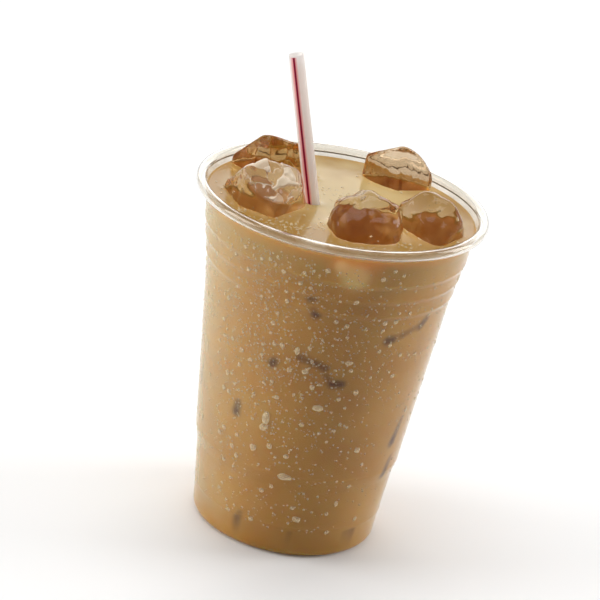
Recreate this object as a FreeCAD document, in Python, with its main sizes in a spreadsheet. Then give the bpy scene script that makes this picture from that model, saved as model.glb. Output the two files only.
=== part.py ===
import FreeCAD
import Part
import Sketcher
import os

# An iced coffee in its clear takeaway cup: a thin tapered cup with a rolled rim, coffee filled
# nearly to the brim, five floating pieces of ice and a drinking straw that leans to the left.
# Lengths are in millimetres and angles in degrees. The origin is the bottom centre of the cup,
# +Z is up and -Y is the front.

doc = FreeCAD.newDocument("iced_coffee")
sheet = doc.addObject("Spreadsheet::Sheet", "Sizes")

CUP_SIZES = [
    ("cup_height", 120.0, "floor the cup stands on to the top of the rolled rim"),
    ("rim_radius", 49.0, "outermost edge of the rolled rim"),
    ("base_radius", 31.55, "upright side of the foot"),
    ("wall", 0.5, "thickness of the cup everywhere"),
    ("curl_radius", 1.75, "outer radius of the rolled rim's section"),
    ("curl_end_up", 1.7231, "how far the curl's end lies below the curl's centre"),
    ("curl_end_in", 0.3055, "how far the curl's end lies inside the curl's centre"),
    ("base_corner", 2.8, "round corner between the underside and the foot"),
    ("push_up", 2.6, "height of the raised middle of the underside"),
    ("push_slope", 1.5, "width of the slope around the raised middle"),
    ("stand_width", 2.2, "flat ring that the cup stands on"),
    ("foot_top", 7.0, "height where the foot starts to flare"),
    ("foot_flare", 3.5, "height of the flare above the foot"),
    ("ledge_low", 26.3, "height where the stacking ledge starts"),
    ("ledge_rise", 4.9, "height of the stacking ledge"),
    ("neck_drop", 27.1, "rim's top down to the first ridge of the neck"),
    ("ridge_pitch", 5.75, "height from one ridge of the neck to the next"),
    ("ridge_rise", 1.5, "height of the steep part of a ridge"),
    ("lip_drop", 8.5, "rim's top down to where the wall opens out to the rim"),
    ("flare_out", 0.36, "step outwards at the flare"),
    ("ledge_out", 0.65, "step outwards at the stacking ledge"),
    ("ridge_out", 0.45, "step outwards at each ridge of the neck"),
    ("lip_out", 0.70, "step outwards from the lip to the rim"),
    ("fill_gap", 4.5, "surface of the coffee below the rim's top"),
]

STRAW_SIZES = [
    ("straw_radius", 2.5, "outside of the straw"),
    ("straw_wall", 0.25, "thickness of the straw's wall"),
    ("straw_length", 167.0, "end to end"),
    ("straw_lift", 1.1, "middle of the straw's low end above the cup's floor"),
    ("straw_enter_x", -9.65, "where the straw meets the surface, from left to right"),
    ("straw_enter_y", -2.8, "the same from front to back"),
    ("straw_foot_in", 9.6, "straw's foot inside the side of the cup's foot"),
]

# Each piece of ice is a tapered block with round edges. It lies beside a neighbour: its middle is
# found from the neighbour's middle in the direction bearing, past both halves and the gap, and
# then moved sideways by slide. Beside the wall the direction is from the middle of the cup.
# The ice was broken to suit a mouth of ice_room and keeps to the cup's mouth when that changes.
ICE_ROOM = ("ice_room", 45.5, "mouth radius that the ice and the straw's entry are laid out for")
ICE_FIELDS = {
    "wide": "from side to side", "deep": "from front to back", "tall": "from foot to top",
    "round": "radius of its edges", "bearing": "direction in which it lies, from the right",
    "gap": "clearance to what it lies beside", "slide": "sideways to that direction",
    "rise": "middle above the coffee's surface", "spin": "turn about its own upright axis",
    "lean": "tilt to the right", "nod": "tilt to the front", "taper": "draft of its four sides",
}
ICE = {
    "ice_front_left": [22.8, 22.3, 22.8, 5.0, 222, 1.56, -5.2, 0.0, 42, -14, 0, 2],
    "ice_front_middle": [24.1, 22.8, 24.1, 6.4, -62, 13.7, 0.0, -0.5, 30, 0, 4, 2],
    "ice_right": [19.6, 20.5, 23.2, 6.8, 30, 1.92, -0.45, -0.5, 38, 0, 0, 2],
    "ice_back_left": [25.5, 18.7, 22.3, 4.5, 132, 1.27, -19.6, -1.4, 45, 0, -7, 3],
    "ice_back_right": [20.0, 11.4, 21.8, 2.7, 60, 4.72, 0.0, 0.5, -22, -14, -12, 3],
}
BESIDE = {
    "ice_front_left": ("straw", "wide"),
    "ice_front_middle": ("wall", "deep"),
    "ice_right": ("ice_front_middle", "wide"),
    "ice_back_left": ("ice_front_left", "deep"),
    "ice_back_right": ("wall", "deep"),
}

rows = CUP_SIZES + STRAW_SIZES + [ICE_ROOM]
for piece in ICE:
    for field, value in zip(ICE_FIELDS, ICE[piece]):
        rows.append((piece + "_" + field, value, ICE_FIELDS[field]))
for index, (alias, value, note) in enumerate(rows):
    line = str(index + 2)
    sheet.set("A" + line, alias)
    sheet.set("B" + line, str(value))
    sheet.set("C" + line, note)
    sheet.setAlias("B" + line, alias)
doc.recompute()


def named(text):
    """Put the sheet's name before every size that the expression uses."""
    words = text.split(" ")
    known = [row[0] for row in rows]
    return " ".join("Sizes." + word if word in known else word for word in words)


def number(text):
    """Value of an expression in the sheet's sizes."""
    result = sheet.evalExpression(named(text))
    return float(getattr(result, "Value", result))


def bind(target, prop, text):
    target.setExpression(prop, named(text))


def origin_plane(body, role):
    for item in body.Origin.OriginFeatures:
        if item.Role == role:
            return item
    raise RuntimeError("no plane " + role)


def new_sketch(body, name, role):
    sketch = body.newObject("Sketcher::SketchObject", name)
    sketch.AttachmentSupport = [(origin_plane(body, role), "")]
    sketch.MapMode = "FlatFace"
    return sketch


def pin(sketch, geo, end, corner):
    """Hold one end of a line at a corner given by two expressions."""
    for axis, rule, text in ((-2, "DistanceX", corner[0]), (-1, "DistanceY", corner[1])):
        if text == "0":
            sketch.addConstraint(Sketcher.Constraint("PointOnObject", geo, end, axis))
        else:
            row = sketch.addConstraint(Sketcher.Constraint(rule, -1, 1, geo, end, number(text)))
            bind(sketch, "Constraints[%d]" % row, text)


def outline(sketch, corners):
    """Closed outline through the corners. A corner may carry the arc that leads on from it:
    (radius, height, (centre radius, centre height, arc radius, clockwise))."""
    count = len(corners)
    for index in range(count):
        start = corners[index]
        stop = corners[(index + 1) % count]
        a = FreeCAD.Vector(number(start[0]), number(start[1]), 0)
        b = FreeCAD.Vector(number(stop[0]), number(stop[1]), 0)
        if len(start) == 3:
            middle = FreeCAD.Vector(number(start[2][0]), number(start[2][1]), 0)
            circle = Part.Circle(middle, FreeCAD.Vector(0, 0, 1), number(start[2][2]))
            if start[2][3]:
                edge = Part.ArcOfCircle(circle, circle.parameter(b), circle.parameter(a))
            else:
                edge = Part.ArcOfCircle(circle, circle.parameter(a), circle.parameter(b))
            sketch.addGeometry(edge, False)
        else:
            sketch.addGeometry(Part.LineSegment(a, b), False)
    for index in range(count):
        begin = 2 if len(corners[index]) == 3 and corners[index][2][3] else 1
        before = (index - 1) % count
        finish = 1 if len(corners[before]) == 3 and corners[before][2][3] else 2
        sketch.addConstraint(Sketcher.Constraint("Coincident", before, finish, index, begin))
        pin(sketch, index, begin, corners[index])
        if len(corners[index]) == 3:
            text = corners[index][2][2]
            row = sketch.addConstraint(Sketcher.Constraint("Radius", index, number(text)))
            bind(sketch, "Constraints[%d]" % row, text)


def turned(name, label, corners):
    """Body turned about the upright axis from a half outline."""
    body = doc.addObject("PartDesign::Body", name)
    body.Label = label
    sketch = new_sketch(body, name + "_outline", "XZ_Plane")
    outline(sketch, corners)
    turn = body.newObject("PartDesign::Revolution", name + "_turn")
    turn.Profile = sketch
    turn.ReferenceAxis = (sketch, ["V_Axis"])
    turn.Angle = 360
    sketch.Visibility = False
    return body


# The cup's wall as a row of stations, each an outer radius and a height. One draft carries the
# wall from the foot's top to the rim, and the named steps come on top of it.
MOUTH = "( rim_radius - 2 * curl_radius )"
STEPS = "( flare_out + ledge_out + 3 * ridge_out + lip_out )"
DRAFT = "( ( %s + wall - base_radius - %s ) / ( cup_height - curl_radius - foot_top ) )" % (MOUTH, STEPS)
stations = [("base_radius", "base_corner"), ("base_radius", "foot_top")]
stepped = "base_radius"


def add_station(height, step=None):
    """Next point up the wall, with the step that was made since the last one."""
    global stepped
    if step:
        stepped = stepped + " + " + step
    stations.append((stepped + " + " + DRAFT + " * ( " + height + " - foot_top )", height))


add_station("foot_top + foot_flare", "flare_out")
add_station("ledge_low")
add_station("ledge_low + ledge_rise", "ledge_out")
for ridge in range(3):
    ridge_low = "cup_height - neck_drop + %d * ridge_pitch" % ridge
    add_station(ridge_low)
    add_station(ridge_low + " + ridge_rise", "ridge_out")
add_station("cup_height - lip_drop")

CURL_X = "rim_radius - curl_radius"
CURL_Z = "cup_height - curl_radius"
THIN = "( curl_radius - wall ) / curl_radius"
FLOOR_TOP = "push_up + wall"
STAND_OUT = "base_radius - base_corner"
STAND_IN = "base_radius - base_corner - stand_width"

underside = [
    ("0", "push_up"),
    (STAND_IN + " - push_slope", "push_up"),
    (STAND_IN, "0"),
    (STAND_OUT, "0", (STAND_OUT, "base_corner", "base_corner", False)),
]
curl = [
    (MOUTH + " + wall", CURL_Z, (CURL_X, CURL_Z, "curl_radius - wall", True)),
    (CURL_X + " - curl_end_in * " + THIN, CURL_Z + " - curl_end_up * " + THIN),
    (CURL_X + " - curl_end_in", CURL_Z + " - curl_end_up", (CURL_X, CURL_Z, "curl_radius", False)),
    (MOUTH, CURL_Z),
]
wall_inside = [(radius + " - wall", height) for radius, height in reversed(stations)]
wall_inside[-1] = wall_inside[-1] + ((STAND_OUT, "base_corner", "base_corner - wall", True),)
floor_inside = [
    (STAND_OUT, "wall"),
    (STAND_IN + " + wall / 2", "wall"),
    (STAND_IN + " - push_slope + wall / 2", FLOOR_TOP),
    ("0", FLOOR_TOP),
]
cup = turned("Cup", "cup", underside + stations + curl + wall_inside + floor_inside)

# The coffee fills the cup's inside up to its surface, so it shares the cup's inner outline.
LEVEL = "( cup_height - fill_gap )"
lip_radius, lip_height = wall_inside[0][0], wall_inside[0][1]
reached = "( " + LEVEL + " - ( " + lip_height + " ) ) / ( " + CURL_Z + " - ( " + lip_height + " ) )"
surface_edge = "( " + lip_radius + " ) + ( " + MOUTH + " - ( " + lip_radius + " ) ) * " + reached
full_cup = turned("Fill", "fill", [("0", LEVEL), (surface_edge, LEVEL)] + wall_inside + floor_inside)

FIT = "( " + MOUTH + " / ice_room )"

# The straw stands on the cup's floor at the right and leans over to the left.
enter_x = FIT + " * straw_enter_x"
enter_y = FIT + " * straw_enter_y"
foot_x = "( base_radius - straw_foot_in )"
foot_z = "( " + FLOOR_TOP + " + straw_lift )"
straw_lean = "atan2( " + enter_x + " - " + foot_x + " ; " + LEVEL + " - " + foot_z + " )"
straw_place = "placement( vector( %s ; %s ; %s ) ; rotation( 0 ; %s ; 0 ) )" % (
    foot_x, enter_y, foot_z, straw_lean)
STRAW_OVERRUN = 1
straw_outside = doc.addObject("Part::Cylinder", "StrawOutside")
bind(straw_outside, "Radius", "straw_radius")
bind(straw_outside, "Height", "straw_length")
bind(straw_outside, "Placement", straw_place)
straw_bore = doc.addObject("Part::Cylinder", "StrawBore")
bind(straw_bore, "Radius", "straw_radius - straw_wall")
bind(straw_bore, "Height", "straw_length + %d" % (2 * STRAW_OVERRUN))
bind(straw_bore, "Placement", straw_place
     + " * placement( vector( 0 ; 0 ; %d ) ; rotation( 0 ; 0 ; 0 ) )" % -STRAW_OVERRUN)
straw = doc.addObject("Part::Cut", "Straw")
straw.Base = straw_outside
straw.Tool = straw_bore
straw.Label = "straw"


def middle(piece):
    """Expressions for the middle of a piece of ice, seen from above."""
    neighbour, side = BESIDE[piece]
    own_half = FIT + " * " + piece + "_" + side + " / 2"
    if neighbour == "wall":
        x, y = "0", "0"
        reach = "( " + MOUTH + " - " + own_half + " - " + piece + "_gap )"
    elif neighbour == "straw":
        x, y = enter_x, enter_y
        reach = "( straw_radius + " + own_half + " + " + piece + "_gap )"
    else:
        x, y = middle(neighbour)
        reach = "( " + FIT + " * " + neighbour + "_" + side + " / 2 + " + own_half + " + " + piece + "_gap )"
    turn = piece + "_bearing * 1deg"
    shift = piece + "_slide"
    return (x + " + " + reach + " * cos( " + turn + " ) - " + shift + " * sin( " + turn + " )",
            y + " + " + reach + " * sin( " + turn + " ) + " + shift + " * cos( " + turn + " )")


def ice_block(piece):
    """One tapered block with round edges, turned about its own middle."""
    word = {field: piece + "_" + field for field in ICE_FIELDS}
    body = doc.addObject("PartDesign::Body", piece + "_body")
    body.Label = piece
    sketch = new_sketch(body, piece + "_foot", "XY_Plane")
    bind(sketch, "AttachmentOffset.Base.z", "-0.5 * " + FIT + " * " + word["tall"])
    half_wide = "0.5 * " + FIT + " * " + word["wide"]
    half_deep = "0.5 * " + FIT + " * " + word["deep"]
    x = number(half_wide)
    y = number(half_deep)
    corners = [(-x, -y), (x, -y), (x, y), (-x, y)]
    for index in range(4):
        a = FreeCAD.Vector(corners[index][0], corners[index][1], 0)
        b = FreeCAD.Vector(corners[(index + 1) % 4][0], corners[(index + 1) % 4][1], 0)
        sketch.addGeometry(Part.LineSegment(a, b), False)
    for index in range(4):
        sketch.addConstraint(Sketcher.Constraint("Coincident", index, 2, (index + 1) % 4, 1))
        rule = "Horizontal" if index % 2 == 0 else "Vertical"
        sketch.addConstraint(Sketcher.Constraint(rule, index))
    sketch.addConstraint(Sketcher.Constraint("Symmetric", 0, 1, 2, 1, -1, 1))
    row = sketch.addConstraint(Sketcher.Constraint("DistanceX", -1, 1, 2, 1, x))
    bind(sketch, "Constraints[%d]" % row, half_wide)
    row = sketch.addConstraint(Sketcher.Constraint("DistanceY", -1, 1, 2, 1, y))
    bind(sketch, "Constraints[%d]" % row, half_deep)
    pad = body.newObject("PartDesign::Pad", piece + "_block")
    pad.Profile = sketch
    bind(pad, "Length", FIT + " * " + word["tall"])
    bind(pad, "TaperAngle", word["taper"])
    doc.recompute()
    edges = body.newObject("PartDesign::Fillet", piece + "_edges")
    edges.Base = (pad, [""])
    edges.UseAllEdges = True
    bind(edges, "Radius", FIT + " * " + word["round"])
    body.Tip = edges
    across, back = middle(piece)
    bind(body, "Placement", "placement( vector( %s ; %s ; %s ) ; rotation( 0 ; %s ; %s ) )"
         " * placement( vector( 0 ; 0 ; 0 ) ; rotation( %s ; 0 ; 0 ) )" % (
             across, back,
             LEVEL + " + " + FIT + " * " + word["rise"],
             word["lean"], word["nod"], word["spin"]))
    sketch.Visibility = False
    return body


blocks = [ice_block(piece) for piece in ICE]

# The coffee leaves room for the ice and for the straw's wall; it stands inside the straw too.
sunk = doc.addObject("Part::MultiFuse", "Sunk")
sunk.Shapes = blocks + [straw]
coffee = doc.addObject("Part::Cut", "Coffee")
coffee.Base = full_cup
coffee.Tool = sunk
coffee.Label = "coffee"
doc.recompute()

nodes = [cup, coffee, straw] + blocks
for item in doc.Objects:
    broken = "Invalid" in item.State or "Error" in item.State
    if broken:
        raise RuntimeError("not computed: " + item.Name + " " + str(item.State))
for node in nodes:
    if node.Shape.isNull() or not node.Shape.isValid():
        raise RuntimeError("bad shape: " + node.Label)
    if len(node.Shape.Solids) != 1:
        raise RuntimeError("not one solid: " + node.Label)
os.makedirs("parts", exist_ok=True)
for node in nodes:
    node.Shape.exportStep("parts/" + node.Label + ".step")
    print(node.Label, "volume %.0f mm3" % node.Shape.Volume)
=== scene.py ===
# %% [markdown]
# # Iced coffee in a clear takeaway cup
# A milky iced coffee stands in a thin, clear, tapered plastic cup. Five pieces of ice float at the
# top, more ice is sunk in the drink, a thin striped straw leans to the left, and the cold cup is
# covered in fine drops of dew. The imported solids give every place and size; each visible surface
# is rebuilt around them with finer form and a finish of its own.

# %% Load the frame
import math

import bmesh
import bpy
import numpy as np
from mathutils import Matrix, Vector, noise


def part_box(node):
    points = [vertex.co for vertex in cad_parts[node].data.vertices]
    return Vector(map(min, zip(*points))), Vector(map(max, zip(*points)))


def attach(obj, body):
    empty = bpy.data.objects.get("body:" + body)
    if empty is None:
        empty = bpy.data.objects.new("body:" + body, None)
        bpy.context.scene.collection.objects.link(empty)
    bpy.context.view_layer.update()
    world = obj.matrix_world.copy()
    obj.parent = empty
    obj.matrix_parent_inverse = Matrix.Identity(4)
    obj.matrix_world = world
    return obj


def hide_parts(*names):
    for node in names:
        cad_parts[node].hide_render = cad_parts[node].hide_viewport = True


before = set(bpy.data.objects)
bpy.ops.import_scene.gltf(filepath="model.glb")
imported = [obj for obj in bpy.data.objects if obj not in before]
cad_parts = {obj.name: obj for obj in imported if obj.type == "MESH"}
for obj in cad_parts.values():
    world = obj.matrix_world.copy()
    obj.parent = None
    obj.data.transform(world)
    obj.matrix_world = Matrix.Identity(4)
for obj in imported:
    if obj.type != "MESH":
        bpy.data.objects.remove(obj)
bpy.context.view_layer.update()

MM = 0.001

# %% [markdown]
# ## Small helpers
# Almost every piece is made from points worked out in millimetres, so one helper turns points and
# faces into a smooth piece in metres. A second one turns an outline about the upright axis, which
# is how a cup, a drink in it and a ring of foam are all shaped.

# %% Helpers for meshes
def new_piece(name, points, faces, smooth=True):
    """Mesh object from points in millimetres."""
    mesh = bpy.data.meshes.new(name)
    mesh.from_pydata((np.asarray(points, dtype=float) * MM).tolist(), [], faces)
    mesh.validate()
    mesh.update()
    mesh.shade_smooth() if smooth else mesh.shade_flat()
    piece = bpy.data.objects.new(name, mesh)
    bpy.context.scene.collection.objects.link(piece)
    return piece


def turn_outline(outline, segments):
    """Points and faces of an outline of (radius, height) turned about the upright axis. Ends that
    lie on the axis become single points, so the skin is closed there."""
    outline = [(float(r), float(z)) for r, z in outline]
    angles = np.linspace(0, 2 * math.pi, segments, endpoint=False)
    points, rings, faces = [], [], []
    for radius, height in outline:
        if radius < 1e-6:
            rings.append([len(points)])
            points.append((0.0, 0.0, height))
        else:
            rings.append(list(range(len(points), len(points) + segments)))
            points.extend((radius * math.cos(a), radius * math.sin(a), height) for a in angles)
    for low, high in zip(rings, rings[1:]):
        for k in range(segments):
            n = (k + 1) % segments
            if len(low) == 1:
                faces.append((low[0], high[n], high[k]))
            elif len(high) == 1:
                faces.append((low[k], low[n], high[0]))
            else:
                faces.append((low[k], low[n], high[n], high[k]))
    return np.array(points), faces


def face_outwards(piece):
    """Merges doubles and turns every face outwards."""
    work = bmesh.new()
    work.from_mesh(piece.data)
    bmesh.ops.remove_doubles(work, verts=work.verts, dist=1e-7)
    bmesh.ops.recalc_face_normals(work, faces=work.faces)
    if work.calc_volume(signed=True) < 0:
        bmesh.ops.reverse_faces(work, faces=work.faces)
    work.to_mesh(piece.data)
    work.free()


def resample(outline, step):
    """Outline with points no further apart than step."""
    result = [outline[0]]
    for a, b in zip(outline, outline[1:]):
        count = max(1, math.ceil(math.dist(a, b) / step))
        for k in range(1, count + 1):
            result.append(tuple(a[i] + (b[i] - a[i]) * k / count for i in range(2)))
    return result


def soften(outline, share, times):
    """Rounds the corners of an open outline by cutting them, and keeps its two ends."""
    for _ in range(times):
        result = [outline[0]]
        for a, b, c in zip(outline, outline[1:], outline[2:]):
            for p, q in ((b, a), (b, c)):
                reach = min(share, 0.25 * math.dist(p, q)) / max(math.dist(p, q), 1e-9)
                result.append(tuple(p[i] + (q[i] - p[i]) * reach for i in range(2)))
        outline = result + [outline[-1]]
    return outline


def arc(centre, radius, start, stop, count):
    """Points on an arc, angles in degrees."""
    return [(centre[0] + radius * math.cos(math.radians(a)), centre[1] + radius * math.sin(math.radians(a)))
            for a in np.linspace(start, stop, count)]


# %% Helpers for finishes
def new_material(name):
    """Empty node material: the tree, and a function that adds a node with its sockets set."""
    material = bpy.data.materials.new(name)
    material.use_nodes = True
    tree = material.node_tree
    tree.nodes.clear()

    def add(kind, sockets=None, **settings):
        node = tree.nodes.new(kind)
        for key, value in settings.items():
            setattr(node, key, value)
        for key, value in (sockets or {}).items():
            if isinstance(value, bpy.types.NodeSocket):
                tree.links.new(value, node.inputs[key])
            else:
                node.inputs[key].default_value = value
        return node

    return material, tree, add


def colour_steps(add, factor, steps, interpolation="EASE"):
    """Colour ramp from a list of (place, colour)."""
    ramp = add("ShaderNodeValToRGB", {"Fac": factor})
    ramp.color_ramp.interpolation = interpolation
    while len(ramp.color_ramp.elements) < len(steps):
        ramp.color_ramp.elements.new(0.5)
    for element, (place, colour) in zip(ramp.color_ramp.elements, steps):
        element.position = place
        element.color = (*colour, 1.0)
    return ramp


def clear_finish(name, tint, ior, roughness, detail=None, lamp_share=0.96):
    """Clear plastic or ice. Lamps reach what is behind it, because a shadow ray passes through as
    it would through a thin clear wall."""
    material, tree, add = new_material(name)
    glass = add("ShaderNodeBsdfPrincipled", {
        "Base Color": (*tint, 1.0), "Roughness": roughness, "IOR": ior, "Transmission Weight": 1.0})
    body = glass if detail is None else detail(add, glass, tree)
    path = add("ShaderNodeLightPath")
    open_way = add("ShaderNodeBsdfTransparent", {"Color": (lamp_share, lamp_share, lamp_share, 1.0)})
    mix = add("ShaderNodeMixShader", {0: path.outputs["Is Shadow Ray"]})
    tree.links.new(body.outputs[0], mix.inputs[1])
    tree.links.new(open_way.outputs[0], mix.inputs[2])
    out = add("ShaderNodeOutputMaterial")
    tree.links.new(mix.outputs[0], out.inputs["Surface"])
    return material


def give(piece, material):
    piece.data.materials.clear()
    piece.data.materials.append(material)


# %% [markdown]
# ## The clear cup
# The real cup is drawn from one thin sheet of clear plastic: a foot with a stacking ledge, a wall
# with one draft, three soft ridges in the neck and a rim that is rolled outwards. Its form is an
# outline turned about an axis. A modifier could turn it, but working the rings out in a function
# keeps the poles closed and gives the same outline to the coffee. The corners are softened as
# drawn plastic is, because a sharp corner would show as a hard line in the clear wall.

# %% Outline of the wall
CUP_HEIGHT, RIM_RADIUS, BASE_RADIUS, WALL = 120.0, 49.0, 31.55, 0.5
CURL_RADIUS, CURL_END = 1.75, -100
BASE_CORNER, STAND_WIDTH, PUSH_UP, PUSH_SLOPE = 2.8, 2.2, 2.6, 1.5
FOOT_TOP, FLARE_TOP, LEDGE_LOW, LEDGE_TOP = 7.0, 10.5, 26.3, 31.2
NECK_LOW, RIDGE_PITCH, RIDGE_RISE, LIP_LOW = 92.9, 5.75, 1.5, 111.5
FLARE_OUT, LEDGE_OUT, RIDGE_OUT, LIP_OUT = 0.36, 0.65, 0.45, 0.70
LIP = 0.11
MOUTH = RIM_RADIUS - 2 * CURL_RADIUS
CURL_MIDDLE = (RIM_RADIUS - CURL_RADIUS, CUP_HEIGHT - CURL_RADIUS)
STEPS_OUT = FLARE_OUT + LEDGE_OUT + 3 * RIDGE_OUT + LIP_OUT
DRAFT = (MOUTH + WALL - BASE_RADIUS - STEPS_OUT) / (CURL_MIDDLE[1] - FOOT_TOP)


def wall_outline():
    """Outer side of the wall from the foot's round corner to the rolled rim."""
    rises = [(FLARE_TOP, FLARE_OUT), (FLARE_TOP + 0.7, LIP), (FLARE_TOP + 1.4, -LIP), (LEDGE_LOW, 0.0),
             (LEDGE_TOP, LEDGE_OUT + LIP), (LEDGE_TOP + 0.8, -LIP)]
    for ridge in range(3):
        low = NECK_LOW + ridge * RIDGE_PITCH
        rises += [(low, 0.0), (low + RIDGE_RISE, RIDGE_OUT + LIP), (low + RIDGE_RISE + 0.7, -LIP)]
    rises += [(LIP_LOW, 0.0), (CURL_MIDDLE[1], LIP_OUT)]
    outline, out = [(BASE_RADIUS, FOOT_TOP)], BASE_RADIUS
    for height, step in rises:
        out += step
        outline.append((out + DRAFT * (height - FOOT_TOP), height))
    return [(BASE_RADIUS, BASE_CORNER)] + soften(outline, 0.35, 2)[1:]


WALL_LINE = wall_outline()
print("wall outline:", len(WALL_LINE), "points, draft %.1f degrees" % math.degrees(math.atan(DRAFT)))


def wall_radius(height):
    """Outer radius of the wall at a height, or at many heights."""
    return np.interp(height, [z for _, z in WALL_LINE], [r for r, _ in WALL_LINE])


# %% The cup
CORNER_MIDDLE = (BASE_RADIUS - BASE_CORNER, BASE_CORNER)
STAND_IN = BASE_RADIUS - BASE_CORNER - STAND_WIDTH


def inner_floor(reach):
    """Inside of the cup's floor from the axis to the wall; reach moves it into the plastic."""
    top = PUSH_UP + WALL - reach
    return ([(0, top), (STAND_IN - PUSH_SLOPE + WALL / 2, top), (STAND_IN + WALL / 2, WALL - reach)]
            + arc(CORNER_MIDDLE, BASE_CORNER - WALL + reach, -90, 0, 8))


def cup_outline():
    under = [(0, PUSH_UP), (STAND_IN - PUSH_SLOPE, PUSH_UP), (STAND_IN, 0)]
    under += arc(CORNER_MIDDLE, BASE_CORNER, -90, 0, 10)
    curl_in = arc(CURL_MIDDLE, CURL_RADIUS - WALL, 180, CURL_END, 30)
    curl_out = arc(CURL_MIDDLE, CURL_RADIUS, CURL_END, 180, 40)
    inside = [(r - WALL, z) for r, z in reversed(WALL_LINE[:-1])]
    return (resample(under, 3.0) + resample(WALL_LINE[1:-1], 4.0) + curl_in + curl_out
            + resample(inside[:-1], 4.0) + resample(list(reversed(inner_floor(0))), 3.0))


def set_mark(piece, name, values):
    """Writes one value per point on a piece, for its finish or for a scatter tree to read."""
    mark = piece.data.attributes.new(name, "FLOAT", "POINT")
    mark.data.foreach_set("value", np.broadcast_to(values, len(piece.data.vertices)).astype(float))


def places(piece):
    """Every point of a piece in millimetres, as rows of x, y, z."""
    flat = np.empty(len(piece.data.vertices) * 3)
    piece.data.vertices.foreach_get("co", flat)
    return flat.reshape(-1, 3) / MM


CUP_SEGMENTS = 288
cup = new_piece("clear_cup", *turn_outline(cup_outline(), CUP_SEGMENTS))
face_outwards(cup)
print("clear cup:", len(cup.data.polygons), "faces")

# %% Finish of the cup
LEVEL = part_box("coffee")[1][2] / MM
FILM_TOP = CURL_MIDDLE[1] + 0.5
spots = places(cup)
on_inside = np.hypot(spots[:, 0], spots[:, 1]) < wall_radius(spots[:, 2]) - WALL / 2
splash = np.clip((FILM_TOP - spots[:, 2]) / 1.2, 0, 1) * (spots[:, 2] > LEVEL - 4.0) * on_inside
set_mark(cup, "splash", splash)
# Painted light, partly: the dew mist outside is laid thickest on the lit left side and thinner on the right and at
# the back, so it also paints these sides paler, as light falling on them would.
FOG_AND_SIDE_LIGHT = [(-80, 0.34, 48), (80, 0.15, 38), (180, 0.15, 60)]  # bearing, share and width of the mist outside, which on the sides is partly painted light
bearings = np.degrees(np.arctan2(spots[:, 0], -spots[:, 1]))
fog_and_side_light = sum(share * np.exp(-(((bearings - b + 180) % 360 - 180) / width) ** 2) for b, share, width in FOG_AND_SIDE_LIGHT)
set_mark(cup, "fog_and_side_light", fog_and_side_light * ~on_inside * np.clip((LEVEL - spots[:, 2]) / 4, 0, 1) * np.clip(spots[:, 2] / 6, 0, 1))


def film_and_fog(add, glass, tree):
    """A thin film of drink left inside above the surface, and dew mist on the outside of a cold cup, which on the
    sides is partly painted light.
    """
    mark = add("ShaderNodeAttribute", attribute_name="splash")
    place = add("ShaderNodeTexCoord")
    streaks = add("ShaderNodeTexNoise", {"Vector": place.outputs["Object"], "Scale": 160.0, "Detail": 3.0})
    amount = add("ShaderNodeMath", {0: streaks.outputs["Fac"], 1: 0.9, 2: 0.05}, operation="MULTIPLY_ADD")
    share = add("ShaderNodeMath", {0: mark.outputs["Fac"], 1: amount.outputs[0]}, operation="MULTIPLY")
    film = add("ShaderNodeBsdfPrincipled", {"Base Color": (0.62, 0.51, 0.36, 1.0), "Roughness": 0.25})
    both = add("ShaderNodeMixShader", {0: share.outputs[0]})
    tree.links.new(glass.outputs[0], both.inputs[1])
    tree.links.new(film.outputs[0], both.inputs[2])
    # painted light, partly: a pale mist layer over the outside, which lightens the sides
    fog_and_side_light = add("ShaderNodeAttribute", attribute_name="fog_and_side_light")
    uneven = add("ShaderNodeMath", {0: streaks.outputs["Fac"], 1: 1.2, 2: 0.4}, operation="MULTIPLY_ADD")
    fog_share = add("ShaderNodeMath", {0: fog_and_side_light.outputs["Fac"], 1: uneven.outputs[0]}, operation="MULTIPLY")
    mist = add("ShaderNodeBsdfPrincipled", {"Base Color": (0.60, 0.61, 0.41, 1.0), "Roughness": 0.6})
    outer = add("ShaderNodeMixShader", {0: fog_share.outputs[0]})
    tree.links.new(both.outputs[0], outer.inputs[1])
    tree.links.new(mist.outputs[0], outer.inputs[2])
    return outer


give(cup, clear_finish("clear cup plastic", (0.89, 0.86, 0.80), 1.42, 0.02, film_and_fog))

# %% [markdown]
# ## The floating ice
# Each piece is a block of ice with its edges melted round and a corner or two lost. A box with a
# bevel looks like moulded plastic. Here a block is a set of flat sides, each with a distance from
# the middle, and a point of a fine ball moves out to where a soft minimum of those distances
# puts it: a high power keeps an edge crisp and a low one melts it. Slow noise adds the dents of
# melting. The same rule, a little smaller, later cuts the hollow that the ice leaves in the
# coffee.

# %% Rule for a melted block
def side(bearing, up, distance):
    """One flat side: the direction it faces, in degrees, and its distance from the middle."""
    b, e = math.radians(bearing), math.radians(up)
    return Vector((math.cos(b) * math.cos(e), math.sin(b) * math.cos(e), math.sin(e))), distance


def keep_inside(points, gap):
    """Draws points back that would come nearer to the inside of the wall than the gap."""
    room = wall_radius(points[:, 2]) - WALL - gap
    share = np.minimum(room / np.maximum(np.hypot(points[:, 0], points[:, 1]), 1e-6), 1.0)
    return np.column_stack((points[:, :2] * share[:, None], points[:, 2]))


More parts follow.
